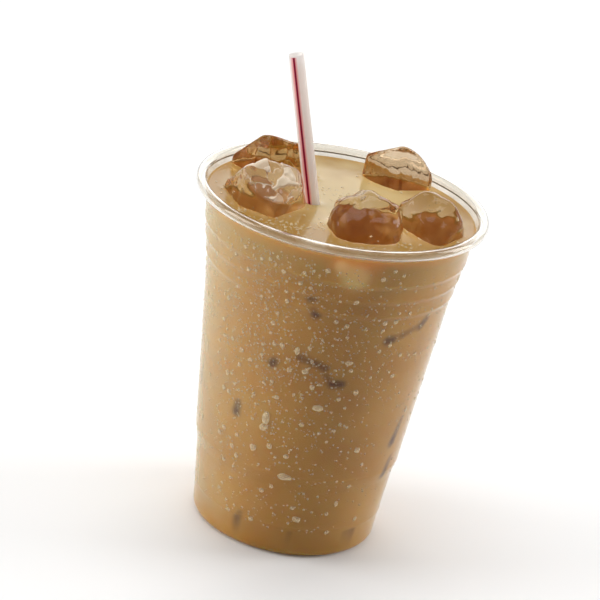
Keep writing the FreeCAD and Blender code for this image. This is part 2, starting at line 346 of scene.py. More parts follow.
class MeltedBlock:
    """A piece of ice: middle, flat sides, how crisp its edges are and how strongly it is dented."""

    def __init__(self, middle, sides, crisp, dent, seed):
        self.middle = np.array(middle)
        self.facing = np.array([list(f) for f, _ in sides])
        self.reach = np.array([d for _, d in sides])
        self.crisp, self.dent, self.seed, self.stop = crisp, dent, seed, None

    def radius(self, directions):
        pull = np.maximum(directions @ self.facing.T, 0) / self.reach
        radius = (pull ** self.crisp).sum(axis=1) ** (-1 / self.crisp)
        if self.dent:
            shift = Vector((self.seed * 3.1, self.seed * 1.7, 0))
            dents = [noise.noise(Vector(d) * 1.9 + shift) + 0.35 * noise.noise(Vector(d) * 4.5 + shift)
                     for d in directions]
            radius = radius + self.dent * (np.array(dents) - 0.35)
        return radius

    def depth(self, points):
        """How deep points lie inside the piece, negative outside it, in millimetres."""
        away = points - self.middle
        length = np.maximum(np.linalg.norm(away, axis=1), 1e-6)
        return self.radius(away / length[:, None]) - length

    def skin(self, fineness, shrink=0.0, detail=None):
        work = bmesh.new()
        bmesh.ops.create_icosphere(work, subdivisions=fineness, radius=1.0)
        directions = np.array([list(v.co) for v in work.verts])
        directions /= np.linalg.norm(directions, axis=1)[:, None]
        faces = [tuple(v.index for v in f.verts) for f in work.faces]
        work.free()
        radius = self.radius(directions) - shrink
        if detail is not None:
            radius = radius + detail(directions, radius)
        if self.stop:
            ahead = np.maximum(directions @ np.array(self.stop[0]), 1e-6)
            radius = np.minimum(radius, (self.stop[1] - shrink) / ahead)
        return keep_inside(self.middle + directions * radius[:, None], 0.25 + shrink), faces


def node_middle(node):
    low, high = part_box(node)
    return [(a + b) / 2 / MM for a, b in zip(low, high)]


# %% Sides of the five pieces
# each side: the way it faces, in degrees round and up, and its distance from the middle in mm
ICE = {
    "ice_front_left": [(204, 0, 11.4), (247, -6, 12.4), (328, 0, 11.9), (0, 20, 13.2), (62, 0, 11.2),
                       (118, 0, 11.8), (150, 48, 12.1), (62, 63, 13.4), (290, 50, 12.6), (0, -90, 11.0)],
    "ice_front_middle": [(185, 0, 13.9), (197, -8, 13.6), (262, -10, 14.2), (298, 0, 13.6), (337, 0, 12.8),
                         (0, 19, 13.2), (28, 0, 11.6), (90, 0, 12.5), (140, 0, 12.5), (146, 52, 15.0),
                         (50, 60, 12.9), (190, 55, 13.6), (275, 46, 13.6), (0, -90, 12.0)],
    "ice_right": [(225, 0, 10.8), (328, 0, 10.9), (20, 0, 11.4), (90, 0, 11.5), (150, 0, 12.0), (209, 0, 11.5),
                  (151, 48, 13.2), (59, 63, 12.0), (17, 33, 10.8), (265, 42, 12.4), (0, -90, 11.5)],
    "ice_back_left": [(230, 0, 10.4), (307, 6, 9.2), (50, 0, 10.5), (141, 0, 11.4), (155, 44, 12.8),
                      (0, 22, 14.4), (86, 66, 11.8), (0, -90, 10.5)],
    "ice_back_right": [(180, 0, 12.6), (222, 6, 8.8), (247, 8, 7.2), (300, 12, 7.1), (20, 0, 10.8), (67, 0, 6.8),
                       (120, 0, 7.5), (129, 60, 11.2), (54, 61, 11.6), (22, 40, 11.4), (0, -90, 10.5)],
}
CRISP = {"ice_front_left": 20, "ice_front_middle": 13, "ice_right": 12, "ice_back_left": 26, "ice_back_right": 30}
DENT = {"ice_front_left": 0.7, "ice_front_middle": 1.5, "ice_right": 1.0, "ice_back_left": 0.5,
        "ice_back_right": 0.35}
blocks = {}
for seed, (node, sides) in enumerate(ICE.items(), 3):
    blocks[node] = MeltedBlock(node_middle(node), [side(*flat) for flat in sides], CRISP[node], DENT[node], seed)
    print(node, "middle", [round(v, 1) for v in blocks[node].middle])

blocks["ice_front_left"].stop = side(24.7, 14.5, 13.2)  # worn flat where the straw leans past

# %% [markdown]
# One piece broke when it froze: its top is a cap of small tilted splinters with fine cracks
# between them. Cells of a Voronoi pattern give the splinters, and each cell tilts and lifts its
# own part of the surface, so the cracks are real steps that catch the light.

# %% The floating ice
CELL_SIZE, LIFT, TILT, CRACK_WIDTH, CRUMPLE = 0.40, 0.6, 2.2, 0.07, 0.55
CAP_AXIS, CAP_EDGE = Vector((0.22, -0.38, 0.90)).normalized(), 0.70


def splinter_marks(direction):
    """How much a direction belongs to the cap, its splinter's own random numbers and its crack."""
    cap = min(max((Vector(direction).dot(CAP_AXIS) - CAP_EDGE) / 0.05, 0.0), 1.0)
    spot = Vector(direction) / CELL_SIZE
    spot += CRUMPLE * noise.noise_vector(spot * 1.7)
    distances, centres = noise.voronoi(spot)
    own = noise.cell_vector(centres[0] * 7.0)
    crack = min(max(1 - (distances[1] - distances[0]) / CRACK_WIDTH, 0.0), 1.0)
    return cap, own, spot - centres[0], crack


def splinters(directions, radius):
    """Tilted splinters on the upper front of a piece."""
    result = np.zeros(len(directions))
    for k, direction in enumerate(directions):
        cap, own, away, crack = splinter_marks(direction)
        result[k] = cap * (LIFT * (own.z - 0.4) + TILT * away.dot(own - Vector((0.5, 0.5, 0.5))) - 0.25 * crack)
    return result


def ripples(seed, height):
    """Fine melting ripples over a whole piece."""
    def detail(directions, radius):
        shift = Vector((seed, -seed, seed))
        return np.array([height * noise.noise(Vector(d) * 11 + shift) for d in directions])
    return detail


DETAIL = {"ice_front_left": splinters}
FINENESS = {"ice_front_left": 7}
floating = {}
for node, block in blocks.items():
    detail = DETAIL.get(node, ripples(block.seed, 0.07))
    piece = new_piece("melting_" + node, *block.skin(FINENESS.get(node, 6), 0.0, detail))
    face_outwards(piece)
    frost = np.zeros(len(piece.data.vertices))
    if detail is splinters:
        away = places(piece) - block.middle
        for k, direction in enumerate(away / np.linalg.norm(away, axis=1)[:, None]):
            cap, own, _, crack = splinter_marks(direction)
            frost[k] = cap * min(max(1.25 * own.x - 0.25, 0.10, 0.7 * crack), 0.75)
    set_mark(piece, "frost", frost)
    floating[node] = piece
    print(piece.name, len(piece.data.polygons), "faces")

# %% Finish of the ice
def ice_skin(add, glass, tree):
    """Faint waves on the wet skin, a coffee stain and frosted splinters that the piece carries."""
    place = add("ShaderNodeTexCoord")
    stain = add("ShaderNodeAttribute", attribute_name="stain")
    patches = add("ShaderNodeTexNoise", {"Vector": place.outputs["Object"], "Scale": 120.0, "Detail": 2.0})
    strength = add("ShaderNodeMath", {0: patches.outputs["Fac"], 1: 0.5, 2: 0.75}, operation="MULTIPLY_ADD")
    share = add("ShaderNodeMath", {0: stain.outputs["Fac"], 1: strength.outputs[0]}, operation="MULTIPLY")
    tint = add("ShaderNodeMix", {"Factor": share.outputs[0], "A": (0.97, 0.95, 0.92, 1.0),
                                 "B": (0.54, 0.35, 0.15, 1.0)}, data_type="RGBA")
    tree.links.new(tint.outputs["Result"], glass.inputs["Base Color"])
    waves = add("ShaderNodeTexNoise", {"Vector": place.outputs["Object"], "Scale": 260.0, "Detail": 2.0})
    bump = add("ShaderNodeBump", {"Strength": 0.12, "Distance": 0.0004, "Height": waves.outputs["Fac"]})
    tree.links.new(bump.outputs[0], glass.inputs["Normal"])
    mark = add("ShaderNodeAttribute", attribute_name="frost")
    frost = add("ShaderNodeBsdfPrincipled", {"Base Color": (0.92, 0.79, 0.62, 1.0), "Roughness": 0.15})
    both = add("ShaderNodeMixShader", {0: mark.outputs["Fac"]})
    tree.links.new(glass.outputs[0], both.inputs[1])
    tree.links.new(frost.outputs[0], both.inputs[2])
    return both


clear_ice = clear_finish("wet ice", (0.97, 0.95, 0.92), 1.31, 0.03, ice_skin)
STAIN = {"ice_front_left": 0.4, "ice_front_middle": 0.3, "ice_right": 0.55, "ice_back_left": 1.0,
         "ice_back_right": 0.75}

for node, piece in floating.items():
    give(piece, clear_ice)
    set_mark(piece, "stain", STAIN[node])

# %% [markdown]
# ## The coffee
# The drink fills the cup up to its surface, so its outline is the inside of the cup, moved a hair
# into the plastic: no gap of air shows between them. Its surface climbs a little at the wall, at
# the straw and at the ice, as every wet edge does. The ice leaves hollows in it. Fine rings make
# the skin, the height of the surface follows the distance to each neighbour, and a boolean cuts
# the hollows, each a little smaller than its ice so that they never show as a gap.

# %% The straw's line
STRAW_RADIUS, STRAW_WALL = 2.5, 0.25
straw_low, straw_high = [[v / MM for v in corner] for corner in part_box("straw")]
lean = 0.3
for _ in range(8):
    lean = math.atan2(straw_high[0] - straw_low[0] - 2 * STRAW_RADIUS * math.cos(lean),
                      straw_high[2] - straw_low[2] - 2 * STRAW_RADIUS * math.sin(lean))
straw_y = (straw_low[1] + straw_high[1]) / 2
straw_foot = Vector((straw_high[0] - STRAW_RADIUS * math.cos(lean), straw_y,
                     straw_low[2] + STRAW_RADIUS * math.sin(lean)))
straw_top = Vector((straw_low[0] + STRAW_RADIUS * math.cos(lean), straw_y,
                    straw_high[2] - STRAW_RADIUS * math.sin(lean)))
straw_axis = (straw_top - straw_foot).normalized()
print("straw leans %.1f degrees, %.0f mm long" % (math.degrees(lean), (straw_top - straw_foot).length))

# %% Skin of the coffee
REACH = 0.1
SURFACE_STEP = 0.9
CLIMB, CLIMB_WIDTH = 0.55, 1.1
side_line = [(r - WALL + REACH, z) for r, z in WALL_LINE if BASE_CORNER < z < LEVEL]
edge_radius = float(wall_radius(LEVEL)) - WALL + REACH
side_line.append((edge_radius, LEVEL))
rings = int(edge_radius / SURFACE_STEP)
surface_line = [(edge_radius * (1 - k / rings), LEVEL) for k in range(1, rings + 1)]
coffee_line = resample(inner_floor(REACH), 3.0)[:-1] + resample(side_line, 1.1) + surface_line
coffee_points, coffee_faces = turn_outline(coffee_line, CUP_SEGMENTS)


def straw_distance(points):
    """Distance from the outside of the straw where it comes out of the coffee."""
    x = straw_foot.x + straw_axis.x / straw_axis.z * (LEVEL - straw_foot.z)
    return np.hypot(points[:, 0] - x, points[:, 1] - straw_y) - STRAW_RADIUS


on_top = coffee_points[:, 2] > LEVEL - 0.01
top = coffee_points[on_top]
climb = np.exp(-(edge_radius - np.hypot(top[:, 0], top[:, 1])) / CLIMB_WIDTH) * 0.7
climb = np.maximum(climb, np.exp(-np.abs(straw_distance(top)) / CLIMB_WIDTH) * 0.8)
for block in blocks.values():
    climb = np.maximum(climb, np.exp(-np.maximum(-block.depth(top), 0) / CLIMB_WIDTH))
coffee_points[on_top, 2] += CLIMB * climb
coffee = new_piece("milk_coffee", coffee_points, coffee_faces)
face_outwards(coffee)
print("coffee skin:", len(coffee.data.polygons), "faces, surface at %.1f mm" % LEVEL)

# %% Hollows for the ice
SHRINK = 0.35
for node, block in blocks.items():
    cutter = new_piece("cutter", *block.skin(5, SHRINK))
    face_outwards(cutter)
    cut = coffee.modifiers.new("hollow", "BOOLEAN")
    cut.operation = "DIFFERENCE"
    cut.solver = "MANIFOLD"
    cut.object = cutter
    depsgraph = bpy.context.evaluated_depsgraph_get()
    carved = bpy.data.meshes.new_from_object(coffee.evaluated_get(depsgraph))
    coffee.modifiers.clear()
    old = coffee.data
    coffee.data = carved
    bpy.data.meshes.remove(old)
    bpy.data.objects.remove(cutter)
work = bmesh.new()
work.from_mesh(coffee.data)
bmesh.ops.remove_doubles(work, verts=work.verts, dist=0.005 * MM)
bmesh.ops.dissolve_degenerate(work, edges=work.edges, dist=0.005 * MM)
print("open edges of the coffee:", sum(len(edge.link_faces) != 2 for edge in work.edges))
work.to_mesh(coffee.data)
work.free()
coffee.data.shade_smooth()
print("coffee with hollows:", len(coffee.data.polygons), "faces")

# %% [markdown]
# ## The sunken ice
# Under the surface the cup is full of ice. It shows only where an edge or a corner of a block
# nearly touches the wall, where the coffee is thin, as a soft dark brown mark: painted shade, the
# dim inside of the drink seen through the ice, painted into the coffee's colour. Painting marks by
# hand would be guesswork. Real blocks are placed inside the coffee, and the thickness of coffee left
# between each point of the wall and the nearest block becomes a value on the mesh that the coffee's finish reads.

# %% Blocks under the surface
# bearing from the front towards the right, height, slope of the touching edge, film, half length
SUNKEN = [
    (-35.3, 50.6, 82, 0.05, 1.9), (-18.2, 72, 60, 0.0, 0.7), (-2.5, 75.9, -14, 0.35, 2.2),
    (4.5, 74.8, -20, 0.25, 1.6), (9.5, 70.5, -55, 0.5, 1.5), (14, 68.8, 4, 0.02, 1.4),
    (-5.0, 98.7, 40, 0.45, 0.6), (-2.7, 93.9, -60, 0.4, 0.9), (36, 85.6, 10, 0.05, 1.1),
    (46, 88.0, 20, 0.62, 3.0), (54.6, 90.3, 45, 0.15, 1.6), (61.6, 47.5, 78, 0.15, 4.6),
    (63.2, 33.3, 80, 0.2, 3.2), (6.1, 7.7, 70, 0.15, 0.8), (46.3, 8.6, 8, 0.15, 1.7),
    (-26.6, 10.8, 70, 0.5, 1.2), (-72.3, 52.0, 80, 0.55, 2.6),
    (100, 78, 20, 0.2, 2.5), (128, 40, 70, 0.15, 2.0), (150, 92, -30, 0.2, 1.5), (176, 60, 10, 0.1, 1.8),
    (-150, 84, 60, 0.2, 1.6), (-125, 30, -20, 0.15, 2.0), (-100, 68, 75, 0.3, 2.0), (165, 16, 5, 0.2, 1.8),
]
BLOCK_HALF, BLOCK_ROUND = 7.0, 1.3


def block_half(height):
    """Half the size of a block: low down, only small ones fit above the floor."""
    return min(BLOCK_HALF, 0.6 * (height - PUSH_UP - WALL))


def sunken_frame(bearing, height, slope, film):
    """Middle and turn of a block whose edge lies along the wall at that place."""
    b = math.radians(bearing)
    outward = Vector((math.sin(b), -math.cos(b), 0))
    sideways = Vector((math.cos(b), math.sin(b), 0))
    s = math.radians(slope)
    edge = (sideways * math.cos(s) + Vector((0, 0, math.sin(s)))).normalized()
    across = edge.cross(outward).normalized()
    corner = math.sqrt(2) * (block_half(height) - BLOCK_ROUND) + BLOCK_ROUND
    inner = float(wall_radius(height)) - WALL
    middle = outward * (inner - film - corner) + Vector((0, 0, height))
    turn = Matrix((edge, (outward + across).normalized(), (outward - across).normalized())).transposed()
    return middle, turn


def block_distance(points, middle, turn, half_length, thick):
    """Distance from a round-edged block."""
    local = (points - np.array(middle)) @ np.array(turn)
    half = np.array([half_length, thick - BLOCK_ROUND, thick - BLOCK_ROUND])
    outside = np.maximum(np.abs(local) - half, 0)
    return np.linalg.norm(outside, axis=1) - BLOCK_ROUND


where = places(coffee)
count = len(where)
# painted shade mark on the coffee: full where a sunken block touches the wall, fading over the reach
painted_shade_mark = np.zeros(count)
PAINTED_SHADE_REACH = 1.25
sunken_points, sunken_faces = [], []
for bearing, height, slope, film, half_length in SUNKEN:
    middle, turn = sunken_frame(bearing, height, slope, film)
    thick = block_half(height)
    distance = block_distance(where, middle, turn, half_length, thick)
    painted_shade_mark = np.maximum(painted_shade_mark, np.clip(1 - distance / PAINTED_SHADE_REACH, 0, 1))
    work = bmesh.new()
    bmesh.ops.create_cube(work, size=2.0)
    half = (half_length + BLOCK_ROUND, thick, thick)
    for vert in work.verts:
        vert.co = Vector([vert.co[i] * half[i] for i in range(3)])
    bmesh.ops.bevel(work, geom=list(work.edges), offset=BLOCK_ROUND, segments=4, profile=0.5, affect="EDGES")
    start = len(sunken_points)
    sunken_points += [list(turn @ v.co + middle) for v in work.verts]
    sunken_faces += [tuple(start + v.index for v in f.verts) for f in work.faces]
    work.free()
sunken = new_piece("sunken_ice", keep_inside(np.array(sunken_points), 0.05), sunken_faces)
face_outwards(sunken)
give(sunken, clear_ice)

def foam_cover(points):
    """Froth gathers round the middle and the back of the surface, and is thin at the front."""
    cover = 1.1 - np.hypot(points[:, 0] - 4, points[:, 1] - 8) / 44
    return cover + 0.25 * np.array([noise.noise(Vector(p) / 9.0) for p in points])


inside_wall = np.hypot(where[:, 0], where[:, 1]) < wall_radius(where[:, 2]) - WALL - 0.6
hollow_mark = inside_wall & (where[:, 2] < LEVEL - 0.2) & (where[:, 2] > 60)
top_mark = where[:, 2] > LEVEL - 0.01
# painted light: a warmer, lighter tone painted on the coffee in the neck where light comes down through the front
# ice, pale at its brightest; bearing, height, reach, strength
PAINTED_GLOWS = [(11.8, 108.5, 8.5, 1.0), (3.5, 112.5, 3.0, 0.5), (52, 107, 9.0, 0.3)]
painted_glow_mark = np.zeros(count)
for bearing, height, reach, strength in PAINTED_GLOWS:
    b, r = math.radians(bearing), float(wall_radius(height))
    away = np.linalg.norm(where - np.array([r * math.sin(b), -r * math.cos(b), height]), axis=1)
    painted_glow_mark += strength * np.exp(-(away / reach) ** 2)
neck_mark = 0.8 * np.clip((where[:, 2] - (LEVEL - 14)) / 14, 0, 1) * ~inside_wall
for name, values in (("film", painted_shade_mark), ("hollow", hollow_mark), ("foam_top", top_mark), ("neck", neck_mark),
                     ("glow", np.clip(painted_glow_mark, 0, 1)), ("shallow", hollow_mark | top_mark),
                     ("foam", foam_cover(where))):
    set_mark(coffee, name, values)
print("sunken blocks:", len(SUNKEN), " marked points:", int((painted_shade_mark > 0.05).sum()))

# %% Finish of the coffee
material, tree, add = new_material("milky coffee")
place = add("ShaderNodeTexCoord")
clouds = add("ShaderNodeTexNoise", {"Vector": place.outputs["Object"], "Scale": 38.0, "Detail": 3.0,
                                   "Roughness": 0.55})


def pour(base, factor_name, colour):
    """Mixes a colour over the drink where a value of the mesh says so."""
    value = add("ShaderNodeAttribute", attribute_name=factor_name)
    mix = add("ShaderNodeMix", {"Factor": value.outputs["Fac"]}, data_type="RGBA")
    tree.links.new(base, mix.inputs["A"])
    if isinstance(colour, bpy.types.NodeSocket):
        tree.links.new(colour, mix.inputs["B"])
    else:
        mix.inputs["B"].default_value = (*colour, 1.0)
    return mix.outputs["Result"]


body = colour_steps(add, clouds.outputs["Fac"], [(0.30, (0.60, 0.300, 0.042)), (0.70, (0.66, 0.365, 0.066))])
foam_share = add("ShaderNodeAttribute", attribute_name="foam")
drift = add("ShaderNodeMath", {0: clouds.outputs["Fac"], 1: 0.9, 2: -0.45}, operation="MULTIPLY_ADD")
froth = add("ShaderNodeMath", {0: foam_share.outputs["Fac"], 1: drift.outputs[0]}, operation="ADD")
top = colour_steps(add, froth.outputs[0], [(0.15, (0.33, 0.185, 0.042)), (0.80, (0.48, 0.345, 0.140))])
# painted light in the neck where light comes down through the front ice: warmer, and pale at the brightest
painted_glow_share = add("ShaderNodeAttribute", attribute_name="glow")
painted_glow_tone = colour_steps(add, painted_glow_share.outputs["Fac"], [(0.0, (0.62, 0.36, 0.06)), (0.55, (0.78, 0.43, 0.09)),
                                              (0.92, (0.90, 0.70, 0.30))])
tone = pour(body.outputs[0], "neck", (0.54, 0.365, 0.090))
tone = pour(tone, "glow", painted_glow_tone.outputs[0])
# painted shade: dark brown where a sunken block nearly touches the wall
tone = pour(tone, "film", (0.150, 0.045, 0.010))
blotches = add("ShaderNodeTexNoise", {"Vector": place.outputs["Object"], "Scale": 95.0, "Detail": 1.0})
sunk = colour_steps(add, blotches.outputs["Fac"], [(0.36, (0.52, 0.255, 0.075)), (0.62, (0.68, 0.43, 0.16))])
tone = pour(tone, "hollow", sunk.outputs[0])
tone = pour(tone, "foam_top", top.outputs[0])
shallow = add("ShaderNodeAttribute", attribute_name="shallow")
depth = add("ShaderNodeMath", {0: shallow.outputs["Fac"], 1: -0.85, 2: 1.0}, operation="MULTIPLY_ADD")
# against the wall there is no air and so no gloss, on the open surface there is
skins = []
for gloss in (0.0, 0.5):
    skin = add("ShaderNodeBsdfPrincipled", {"Roughness": 0.16, "IOR": 1.30, "Specular IOR Level": gloss,
                                            "Subsurface Weight": depth.outputs[0], "Subsurface Scale": 1.0,
                                            "Subsurface Radius": (0.0065, 0.0036, 0.0017)})
    tree.links.new(tone, skin.inputs["Base Color"])
    skins.append(skin)
open_air = add("ShaderNodeMixShader", {0: shallow.outputs["Fac"]})
for k, skin in enumerate(skins, 1):
    tree.links.new(skin.outputs[0], open_air.inputs[k])
add("ShaderNodeOutputMaterial", {"Surface": open_air.outputs[0]})
give(coffee, material)

# %% [markdown]
# ## The straw
# A thin-walled tube of milky plastic with one dark red line drawn along it, which bleeds pink
# into the plastic on both sides. The tube is built round its own axis, and each corner carries a
# UV place, round the straw and along it, so that the line can be drawn by the finish at its true
# width.

# %% The straw
STRAW_SEGMENTS, STRAW_RINGS = 72, 40
straw_length = (straw_top - straw_foot).length
right = Vector((0, 1, 0)).cross(straw_axis).normalized()
front = straw_axis.cross(right).normalized()


def tube_points(radius):
    rows = []
    for k in range(STRAW_RINGS + 1):
        middle = straw_foot + straw_axis * (straw_length * k / STRAW_RINGS)
        for a in np.linspace(0, 2 * math.pi, STRAW_SEGMENTS, endpoint=False):
            rows.append(middle + (right * math.sin(a) - front * math.cos(a)) * radius)
    return rows


outside = tube_points(STRAW_RADIUS)
inside = tube_points(STRAW_RADIUS - STRAW_WALL)
shift = len(outside)
faces = []
for k in range(STRAW_RINGS):
    for j in range(STRAW_SEGMENTS):
        n = (j + 1) % STRAW_SEGMENTS
        a, b = k * STRAW_SEGMENTS, (k + 1) * STRAW_SEGMENTS
        faces.append((a + j, a + n, b + n, b + j))
        faces.append((shift + a + n, shift + a + j, shift + b + j, shift + b + n))
for k, flip in ((0, True), (STRAW_RINGS, False)):
    a = k * STRAW_SEGMENTS
    for j in range(STRAW_SEGMENTS):
        n = (j + 1) % STRAW_SEGMENTS
        quad = (a + j, a + n, shift + a + n, shift + a + j)
        faces.append(tuple(reversed(quad)) if flip else quad)
straw = new_piece("drinking_straw", np.array([list(p) for p in outside + inside]), faces)
face_outwards(straw)
uv = straw.data.uv_layers.new(name="along_and_around")
for face in straw.data.polygons:
    turns = []
    for corner in face.loop_indices:
        point = straw.data.vertices[straw.data.loops[corner].vertex_index].co / MM - straw_foot
        turns.append((corner, math.atan2(point.dot(right), -point.dot(front)) / (2 * math.pi), point.dot(straw_axis)))
    if max(t for _, t, _ in turns) - min(t for _, t, _ in turns) > 0.5:
        turns = [(c, t + 1 if t < 0 else t, h) for c, t, h in turns]
    for corner, turn, height in turns:
        uv.data[corner].uv = (turn, height / straw_length)
print("straw:", len(straw.data.polygons), "faces")

# %% Finish of the straw
LINE_TURN = -0.045
LINE_END = 1 - 0.4 / straw_length
ROUND_MM = 2 * math.pi * STRAW_RADIUS
material, tree, add = new_material("milky straw plastic")
layer = add("ShaderNodeUVMap", uv_map="along_and_around")
split = add("ShaderNodeSeparateXYZ", {"Vector": layer.outputs["UV"]})
offset = add("ShaderNodeMath", {0: split.outputs["X"], 1: LINE_TURN}, operation="SUBTRACT")
across = add("ShaderNodeMath", {0: offset.outputs[0], 1: ROUND_MM / 4.0, 2: 0.5}, operation="MULTIPLY_ADD")
WHITE, BLUSH, PINK, RED = (0.99, 0.96, 0.93), (0.97, 0.72, 0.70), (0.90, 0.42, 0.45), (0.34, 0.008, 0.045)
LINE = [(-1.5, WHITE), (-1.1, BLUSH), (-0.42, PINK), (-0.30, RED), (0.30, RED), (0.42, PINK), (0.8, BLUSH), (1.1, WHITE)]
line = colour_steps(add, across.outputs[0], [(0.5 + mm / 4.0, colour) for mm, colour in LINE], "LINEAR")
end = add("ShaderNodeMath", {0: split.outputs["Y"], 1: LINE_END}, operation="LESS_THAN")
paint = add("ShaderNodeMix", {"Factor": end.outputs[0], "A": (*WHITE, 1.0)}, data_type="RGBA")
tree.links.new(line.outputs[0], paint.inputs["B"])
shader = add("ShaderNodeBsdfPrincipled", {"Roughness": 0.22, "IOR": 1.5, "Subsurface Weight": 0.35,
                                          "Subsurface Radius": (0.0012, 0.001, 0.001), "Subsurface Scale": 1.0})
tree.links.new(paint.outputs["Result"], shader.inputs["Base Color"])
glow = add("ShaderNodeBsdfTranslucent", {"Color": paint.outputs["Result"]})
thin = add("ShaderNodeMixShader", {0: 0.6})
tree.links.new(shader.outputs[0], thin.inputs[1])
tree.links.new(glow.outputs[0], thin.inputs[2])
add("ShaderNodeOutputMaterial", {"Surface": thin.outputs[0]})
give(straw, material)

# %% [markdown]
# ## Dew on the cup
# Cold plastic gathers dew: thousands of beads less than a millimetre wide, a few larger drops,
# and some that have run together. Geometry Nodes scatter one small dome over the wall. The
# points keep a distance from each other as real beads do, a wetness value on the wall says where
# they gather, and the size of each is drawn from a seeded random number.

# %% One bead, and the wet wall
def dome(name, sectors, levels, flat):
    """Round drop that sits on a surface, one unit in radius, with a closed flat base."""
    points, rings, faces = [], [], []
    for k in range(levels):
        a = math.pi / 2 * k / levels
        rings.append(list(range(len(points), len(points) + sectors)))
        for j in range(sectors):
            t = 2 * math.pi * (j + 0.5 * (k % 2)) / sectors
            points.append((math.cos(a) * math.cos(t), math.cos(a) * math.sin(t), flat * math.sin(a)))
    points.append((0, 0, flat))
    for low, high in zip(rings, rings[1:]):
        for j in range(sectors):
            n = (j + 1) % sectors
            faces.append((low[j], low[n], high[n], high[j]))
    for j in range(sectors):
        faces.append((rings[-1][j], rings[-1][(j + 1) % sectors], len(points) - 1))
    faces.append(tuple(reversed(rings[0])))
    mesh = bpy.data.meshes.new(name)
    mesh.from_pydata(points, [], faces)
    mesh.update()
    mesh.shade_smooth()
    return bpy.data.objects.new(name, mesh)


def wet_wall(name, wetness):
    """The outside of the wall as an open skin that carries the value wetness on its points."""
    outline = resample([p for p in WALL_LINE if 4.0 < p[1] < 113.5], 2.0)
    points, faces = turn_outline([(r - 0.03, z) for r, z in outline], 120)
    skin = new_piece(name, points, faces)
    set_mark(skin, "wetness", [wetness(math.degrees(math.atan2(x, -y)), z) for x, y, z in points])
    return skin


def dew(bearing, height):
    """Wetter on the front left and half way up, drier low down and on the right."""
    round_way = 0.30 + 0.70 * math.exp(-((bearing + 25) / 48.0) ** 2)
    up_way = 0.35 + 0.65 * math.exp(-((height - 80) / 34.0) ** 2)
    patch = 0.75 + 0.5 * noise.noise(Vector((bearing / 14.0, height / 11.0, 2.0)))
    cloud = 0.8 * math.exp(-((bearing + 31) / 11) ** 2 - ((height - 108) / 7) ** 2)
    cloud += 0.4 * math.exp(-((bearing + 27) / 5) ** 2) * (70 < height < 105)
    return max(0.03, min(1.0, round_way * up_way * patch + cloud))


# %% Scatter tree
def scatter_tree(name, bead, material):
    """Geometry Nodes tree that puts beads on a skin."""
    tree = bpy.data.node_groups.new(name, "GeometryNodeTree")
    face = tree.interface
    face.new_socket("Geometry", in_out="INPUT", socket_type="NodeSocketGeometry")
    for label, value in (("Spacing", 0.001), ("Most per area", 400000.0), ("Smallest", 0.0002), ("Largest", 0.0005)):
        face.new_socket(label, in_out="INPUT", socket_type="NodeSocketFloat").default_value = value
    face.new_socket("Seed", in_out="INPUT", socket_type="NodeSocketInt").default_value = 1
    face.new_socket("Geometry", in_out="OUTPUT", socket_type="NodeSocketGeometry")
    node = tree.nodes.new
    link = tree.links.new
    given, result = node("NodeGroupInput"), node("NodeGroupOutput")
    wet = node("GeometryNodeInputNamedAttribute")
    wet.data_type = "FLOAT"
    wet.inputs["Name"].default_value = "wetness"
    points = node("GeometryNodeDistributePointsOnFaces")
    points.distribute_method = "POISSON"
    link(given.outputs["Geometry"], points.inputs["Mesh"])
    link(given.outputs["Spacing"], points.inputs["Distance Min"])
    link(given.outputs["Most per area"], points.inputs["Density Max"])
    link(wet.outputs["Attribute"], points.inputs["Density Factor"])
    link(given.outputs["Seed"], points.inputs["Seed"])
    draw = node("FunctionNodeRandomValue")
    draw.data_type = "FLOAT"
    link(given.outputs["Seed"], draw.inputs["Seed"])
    skew = node("ShaderNodeMath")
    skew.operation = "POWER"
    skew.inputs[1].default_value = 2.2
    link(draw.outputs[1], skew.inputs[0])
    spread = node("ShaderNodeMapRange")
    link(skew.outputs[0], spread.inputs["Value"])
    link(given.outputs["Smallest"], spread.inputs["To Min"])
    link(given.outputs["Largest"], spread.inputs["To Max"])
    stand = node("GeometryNodeInstanceOnPoints")
    source = node("GeometryNodeObjectInfo")
    source.inputs["Object"].default_value = bead
    link(points.outputs["Points"], stand.inputs["Points"])
    link(source.outputs["Geometry"], stand.inputs["Instance"])
    link(points.outputs["Rotation"], stand.inputs["Rotation"])
    link(spread.outputs["Result"], stand.inputs["Scale"])
    real = node("GeometryNodeRealizeInstances")
    paint = node("GeometryNodeSetMaterial")
    paint.inputs["Material"].default_value = material
    link(stand.outputs["Instances"], real.inputs["Geometry"])
    link(real.outputs["Geometry"], paint.inputs["Geometry"])
    link(paint.outputs["Geometry"], result.inputs["Geometry"])
    return tree


def scatter(name, skin, tree, **values):
    """Runs the tree on the skin and returns the beads as one plain piece."""
    live = skin.modifiers.new("scatter", "NODES")
    live.node_group = tree
    for item in tree.interface.items_tree:
        key = item.name.replace(" ", "_").lower()
        if item.item_type == "SOCKET" and item.in_out == "INPUT" and key in values:
            live[item.identifier] = values[key]
    depsgraph = bpy.context.evaluated_depsgraph_get()
    mesh = bpy.data.meshes.new_from_object(skin.evaluated_get(depsgraph))
    skin.modifiers.clear()
    bpy.data.objects.remove(skin)
    mesh.name = name
    mesh.shade_smooth()
    piece = bpy.data.objects.new(name, mesh)
    bpy.context.scene.collection.objects.link(piece)
    print(name, len(mesh.polygons), "faces")
    return piece


